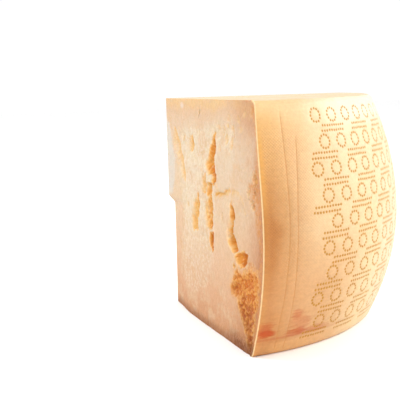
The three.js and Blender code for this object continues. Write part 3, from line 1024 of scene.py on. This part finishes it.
# Heights are in metres here, depth in centimetres, and arc in tenths of a metre: round the rind, or
# out from the axis on a cut.
def paste_material():
    """The inside of the cheese: pale and grainy, orange where it is crumbled, with painted shade,
    highlight and glow on its relief.
    """
    nodes = Nodes("cheese_paste")
    value, ramp, plus, times, mix = nodes.value, nodes.ramp, nodes.plus, nodes.times, nodes.mix
    cloud = nodes.noise(30, 4, 0.6)
    streak = nodes.noise(250, 4, 0.6, 1.1)
    blot = nodes.noise(70, 4, 0.6, 1.2)
    speck = nodes.noise(620, 2, 0.6)
    crumb = nodes.noise(300, 3, 0.65)
    height = nodes.height()
    flaky, way_in, broken = value("flaky"), value("way_in"), value("broken")
    wall, sunk, proud = value("wall"), value("sunk"), value("proud")
    sway = times(nodes.minus(cloud, 0.5), 0.03)
    # the paste up the cut, darker and browner towards the foot: painted shade
    nodes.colour = nodes.gradient(plus(height, sway), PASTE_UPWARDS)
    nodes.coat(FLAKE_BASE, flaky, ramp(height, 0.03, 0.12, 0.15, 0.6))
    nodes.coat(PASTE_WARM, ramp(blot, 0.47, 0.66, 0.0, 0.7))
    by_height = plus(ramp(height, 0.14, 0.06, 0.3, 1.0), ramp(height, 0.165, 0.185, 0.0, 0.35))
    nodes.coat(PASTE_ROSY, ramp(way_in, 0.0, 1.0, 1.0, 0.0), by_height)
    nodes.coat(FLAKE_SHADE, flaky, ramp(value("depth"), 0.1, 0.34, 0.0, 0.3))
    nodes.coat(FLAKE_PALE_AND_HIGHLIGHT, flaky, ramp(streak, 0.45, 0.65, 0.0, 0.35))
    # painted shade in sunk places
    nodes.coat(FLAKE_SHADE, sunk, 0.3)
    # painted shade and painted glow on walls that face the rind
    nodes.coat(WALL_SHADE_AND_GLOW, wall, 0.8)
    # painted highlight on proud edges
    nodes.coat(FLAKE_PALE_AND_HIGHLIGHT, proud, 0.22)
    # painted cool light on the smooth facet
    nodes.coat(FACET_COOL_LIGHT, value("facet"), 0.8)
    nodes.coat(UNDER_RIND, ramp(way_in, 0.03, 0.24, 0.9, 0.0), ramp(height, 0.185, 0.12))
    tone = plus(value("tone"), times(nodes.minus(crumb, 0.5), 0.6))
    # pale crumbs above the cavity, browner between them; their pale tops are partly a painted
    # highlight
    nodes.coat(mix(ramp(tone, 0.2, 0.6), STRIP_BROWN, PALE_CRUMB), value("pale"), 0.8)
    # the hollows: painted gold shade, deeper in tone the further down, with paler crumbs partly from
    # a painted highlight on proud places
    mottled = nodes.minus(plus(times(blot, 0.7), times(tone, -0.4)), 0.22)
    uneven = times(mottled, ramp(broken, 0.05, 0.5))
    hollow = nodes.gradient(plus(broken, uneven), HOLLOW_DOWNWARDS)
    nodes.coat(mix(times(proud, 0.4), hollow, CRUMB_PALE_HIGHLIGHT), ramp(broken, 0.02, 0.4))
    glowing = mix(1.0, nodes.colour, WALL_GLOW, "MULTIPLY")
    nodes.coat(glowing, wall, ramp(broken, 0.08, 0.3))
    nodes.coat(STRIP_BROWN, value("strip"), ramp(crumb, 0.38, 0.6, 0.35, 0.9))
    # the crumbled cavity: orange and brown, with painted shade that browns it towards the foot and in
    # the gaps between crumbs, and paler crumbs whose tops are partly a painted highlight
    cavity = mix(ramp(height, 0.022, 0.055), CAVITY_SHADE_BROWN, CAVITY_ORANGE)
    grainy = plus(times(tone, 0.5), times(nodes.noise(430, 4, 0.7), 0.6))
    pale_and_highlit = ramp(grainy, 0.38, 0.66, 0.0, ramp(height, 0.02, 0.05, 0.6, 0.95))
    cavity = mix(pale_and_highlit, cavity, CAVITY_PALE_AND_HIGHLIGHT)
    nodes.coat(mix(times(sunk, 0.5), cavity, CAVITY_SHADE_BROWN), value("cavity"), 0.92)
    # painted shade along the foot, brown and patchy, stronger below the cavity
    foot = plus(height, times(blot, -0.008))
    nodes.coat(FOOT_SHADE_BROWN, ramp(foot, 0.006, -0.003, 0.0, 0.6))
    foot_shade_patch = times(ramp(value("arc"), 1.3, 1.7), ramp(foot, 0.013, 0.0))
    nodes.coat(FOOT_SHADE_BROWN, foot_shade_patch, ramp(crumb, 0.35, 0.55, 0.4, 0.85))
    nodes.coat(CHALK, value("chalk"), 0.6)
    nodes.coat(LIP_PALE, value("lip"))
    nodes.shade(plus(ramp(speck, 0.3, 0.7, -0.035, 0.03), ramp(streak, 0.3, 0.7, 0.96, 1.03)))
    grain = plus(times(streak, 0.9), times(crumb, ramp(broken, 0, 0.5, 0.45, 1.6)))
    return nodes.finish(grain, 0.0009, ramp(crumb, 0.3, 0.7, 0.55, 0.8), 0.2)


def spot(nodes, a, z, half_a, half_z, uneven):
    """How much of a soft, uneven patch round a place on the rind there is; it gives the stains and
    the painted shade along the front cut.
    """
    across = nodes.math("DIVIDE", nodes.minus(nodes.value("arc"), a / 100), half_a / 100)
    up = nodes.math("DIVIDE", nodes.minus(nodes.height(), z * MM), half_z * MM)
    square = nodes.plus(nodes.times(across, across), nodes.times(up, up))
    square = nodes.plus(square, nodes.times(nodes.minus(uneven, 0.5), 4.0))
    return nodes.ramp(square, 0.0, 1.3, 1.0, 0.0)


def mould_weave(nodes, arc, height):
    """Fine dimples left by the mould's net, where the rind was pressed against it."""
    across = nodes.math("SINE", nodes.times(arc, 100 * math.pi / WEAVE_PITCH_A))
    up = nodes.math("SINE", nodes.times(height, 1000 * math.pi / WEAVE_PITCH_Z))
    dimples = nodes.plus(nodes.times(across, up, 0.5), 0.5)
    pressed = nodes.times(
        nodes.ramp(height, 0.04, 0.085), nodes.ramp(height, 0.187, 0.165),
        nodes.ramp(arc, 0.02, 0.05), nodes.ramp(arc, 0.3, 0.6, 1.0, 0.3),
    )
    return nodes.times(dimples, pressed)


def rind_material():
    """The rind: dry and gold, paler towards the top and away from the front cut, partly its own
    colour and partly painted light, with painted shade along the front cut.
    """
    nodes = Nodes("cheese_rind")
    ramp, plus, minus, times = nodes.ramp, nodes.plus, nodes.minus, nodes.times
    cloud = nodes.noise(16, 4, 0.55)
    blotch = nodes.noise(60, 3, 0.6)
    fine = nodes.noise(420, 3, 0.6)
    scratch = nodes.noise(90, 3, 0.6, 6)
    height, arc, seam = nodes.height(), nodes.value("arc"), nodes.value("seam")
    sway = times(minus(cloud, 0.5), 0.35)
    # gold by the front cut, cream further round: partly own colour, partly painted light
    nodes.colour = nodes.gradient(plus(arc, sway), RIND_ALONG)
    higher = plus(height, times(sway, 0.06))
    # paler higher up and darker low down by the cut: partly painted light and painted shade
    nodes.coat(nodes.gradient(arc, RIND_HIGH_ALONG), ramp(higher, 0.1, 0.178, 0.0, 0.75))
    nodes.coat(RIND_LOW, ramp(higher, 0.12, 0.05, 0.0, 0.68), ramp(arc, 1.3, 0.5))
    # painted shade along the front cut
    nodes.coat(RIND_SHADE_BROWN, spot(nodes, 5, 84, 15, 62, cloud), 0.7)
    # a creamy band under the top, partly painted light from above
    cream_from = ramp(arc, 0.1, 0.8, 0.181, 0.172)
    creamy = nodes.math("DIVIDE", minus(plus(height, times(sway, 0.03)), cream_from), 0.016)
    nodes.coat(nodes.gradient(arc, CREAM_ALONG), ramp(creamy, 0.0, 1.0, 0.0, 0.9))
    gold = times(ramp(arc, 0.02, 0.075, 0.7, 0.0), ramp(height, 0.185, 0.165))
    nodes.coat(LIP_GOLD, gold, ramp(height, 0.1, 0.15, 0.3, 1.0))
    torn = plus(times(blotch, 0.45), times(scratch, 0.55))
    for a, z, half_a, half_z, strength in STAINS:
        nodes.coat(STAIN, spot(nodes, a, z, half_a, half_z, torn), strength)
    # the mark of the mould's lower edge, and the rind below it
    from_line = nodes.math("ABSOLUTE", minus(height, FOOT_LINE * MM))
    near_cut = ramp(arc, 1.2, 0.4, 0.15, 1.0)
    nodes.coat(STAIN_DARK, ramp(from_line, 0.0, 0.0022, 0.5, 0.0), near_cut)
    below = times(ramp(height, 0.012, 0.009, 0.0, 0.5), near_cut)
    nodes.coat(RIND_FOOT, below, ramp(arc, 0.05, 0.25, 0.2, 1.0))
    # the seams: darker in their grooves, partly painted shade, with a painted highlight beside each
    nodes.coat(SEAM_TAN, ramp(seam, 0.1, 0.9, 0.0, 0.5))
    nodes.coat(SEAM_HIGHLIGHT, ramp(seam, -0.1, -0.6, 0.0, 0.5))
    nodes.coat(PRICK_GOLD, ramp(nodes.value("prick"), 0.1, 0.6, 0.0, 0.95))
    top = nodes.mix(ramp(blotch, 0.42, 0.64, 0.0, 0.6), TOP_CREAM, TOP_TAN)
    nodes.coat(top, ramp(height, 0.1992, 0.19985))
    nodes.coat(LIP_PALE, ramp(nodes.value("lip"), 0.2, 1.0, 0.0, 0.8))
    weave = mould_weave(nodes, arc, height)
    nodes.coat(WEAVE_GOLD, weave, 0.38)
    nodes.shade(plus(ramp(fine, 0.3, 0.7, 0.95, 1.04), ramp(scratch, 0.35, 0.65, -0.03, 0.02)))
    relief = minus(plus(times(fine, 0.4), times(scratch, 0.5)), times(weave, 0.7))
    return nodes.finish(relief, 0.0005, ramp(blotch, 0.3, 0.7, 0.42, 0.62), 0.12)


def show(name, data):
    """Puts a new object with this data in the scene."""
    shown = bpy.data.objects.new(name, data)
    bpy.context.scene.collection.objects.link(shown)
    return shown


# ---- the cheese ----
def make_cheese():
    body = Body()
    front_top, front_foot = make_cut(body, front_relief, back_relief, False, FRONT_STEPS)
    back_top, back_foot = make_cut(body, back_relief, front_relief, True, BACK_STEPS)
    foot_arc, top_arc = make_rind(body)
    make_flat(body, front_top, back_top, top_arc, WHEEL_HEIGHT)
    make_flat(body, front_foot, back_foot, foot_arc, 0.0)
    mesh = body.mesh("cheese")
    mesh.materials.append(paste_material())
    mesh.materials.append(rind_material())
    return show("cheese", mesh)


cheese = make_cheese()
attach(cheese, "root")
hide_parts("cheese_quarter")


# ---- the floor ----
def make_floor(half=6.0, drop=0.0002):
    """A white floor that lies just below the cheese."""
    mesh = bpy.data.meshes.new("floor")
    corners = [(-half, -half), (half, -half), (half, half), (-half, half)]
    mesh.from_pydata([(x, y, -drop) for x, y in corners], [], [(0, 1, 2, 3)])
    nodes = Nodes("floor_white")
    nodes.feed(nodes.shader, {"Base Color": (0.97, 0.97, 0.97, 1.0), "Roughness": 0.9})
    mesh.materials.append(nodes.material)
    return show("floor", mesh)


make_floor()


# ---- light and camera ----
def area_light(name, place, aim, size, power, colour):
    light = bpy.data.lights.new(name, "AREA")
    light.shape = "DISK"
    light.size = size
    light.energy = power
    light.color = colour
    lamp = show(name, light)
    lamp.location = place
    lamp.rotation_euler = (Vector(aim) - Vector(place)).to_track_quat("-Z", "Y").to_euler()


CHEESE_MIDDLE = (0.0, 0.0, 0.1)
area_light("key_light", (1.8, -0.4, 1.3), CHEESE_MIDDLE, 1.2, 26, (1.0, 0.99, 0.97))
area_light("front_light", (-0.2, -2.0, 1.0), CHEESE_MIDDLE, 1.2, 11, (1.0, 0.99, 0.97))
area_light("side_light", (-1.6, 0.9, 1.5), CHEESE_MIDDLE, 0.9, 24, (0.98, 0.99, 1.0))

world = bpy.data.worlds.new("studio")
world.use_nodes = True
background = world.node_tree.nodes["Background"]
background.inputs["Color"].default_value = (1.0, 1.0, 1.0, 1.0)
background.inputs["Strength"].default_value = 1.02
bpy.context.scene.world = world
bpy.context.scene.view_settings.view_transform = "Standard"

# The camera's place is measured from the wheel's axis, in millimetres.
CAMERA_FROM_AXIS = (-257.6, -774.1, 214.9)
CAMERA_YAW, CAMERA_PITCH, CAMERA_ROLL = 20.53, -8.01, -1.47
CAMERA_LENS, SENSOR_WIDTH = 75.65, 36.0


def make_camera():
    yaw, pitch, roll = (math.radians(x) for x in (CAMERA_YAW, CAMERA_PITCH, CAMERA_ROLL))
    level = math.cos(pitch)
    forward = Vector((math.sin(yaw) * level, math.cos(yaw) * level, math.sin(pitch)))
    level_right = forward.cross(Vector((0, 0, 1))).normalized()
    level_up = level_right.cross(forward)
    right = math.cos(roll) * level_right + math.sin(roll) * level_up
    up = -math.sin(roll) * level_right + math.cos(roll) * level_up
    data = bpy.data.cameras.new("camera")
    data.lens = CAMERA_LENS
    data.sensor_width = SENSOR_WIDTH
    camera = show("camera", data)
    turn = Matrix((right, up, -forward)).transposed().to_4x4()
    x, y, z = CAMERA_FROM_AXIS
    place = Vector((AXIS[0] + x, AXIS[1] + y, z)) * MM
    camera.matrix_world = Matrix.Translation(place) @ turn
    bpy.context.scene.camera = camera


make_camera()
